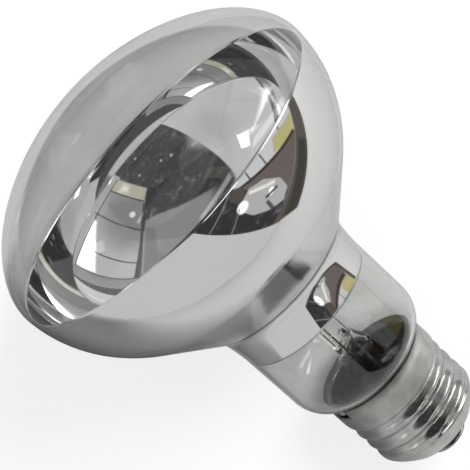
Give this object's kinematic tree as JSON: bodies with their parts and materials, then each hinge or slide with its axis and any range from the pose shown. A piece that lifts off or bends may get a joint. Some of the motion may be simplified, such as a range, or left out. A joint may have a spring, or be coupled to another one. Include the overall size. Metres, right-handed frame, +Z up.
{
  "type": "incandescent reflector light bulb",
  "caption": "Clear-fronted reflector lamp with an inside mirror, a coiled filament on a glass stem and a screw cap, lying on its side.",
  "frame": {"origin": "middle of the bounding box's underside, on the ground the lamp lies on", "axes": "+X from the dome towards the screw cap, along the ground; +Z up; the lamp's own axis lies in the XZ plane and slopes down by 19 degrees towards the cap"},
  "size_m": [0.1122, 0.0796, 0.0774],
  "materials": {
    "clear_glass": "clear blown glass, smooth",
    "silvering": "bright vapour-deposited mirror",
    "plated_metal": "satin nickel-plated brass",
    "dark_glass": "near-black glass, glossy",
    "contact_brass": "tarnished, satin",
    "solder": "dull solder",
    "cement": "matt brown cement",
    "stem_glass": "clear lead glass",
    "nickel_wire": "drawn nickel wire",
    "molybdenum": "fine grey wire",
    "tungsten": "dark grey coiled wire",
    "copper_wire": "copper wire"
  },
  "bodies": {
    "root": {"glass_bulb": "clear_glass", "reflector_mirror": "silvering", "stem": "stem_glass", "exhaust_tube": "stem_glass", "arbor": "stem_glass", "inner_lead_a": "nickel_wire", "inner_lead_b": "nickel_wire", "support_wire_1": "molybdenum", "support_wire_2": "molybdenum", "support_wire_3": "molybdenum", "filament": "tungsten", "outer_lead_centre": "copper_wire", "outer_lead_side": "copper_wire", "fuse_sleeve": "stem_glass", "cap_shell": "plated_metal", "cap_cement": "cement", "cap_insulator": "dark_glass", "contact_plate": "contact_brass", "centre_solder": "solder", "side_solder": "solder"}
  },
  "joints": []
}
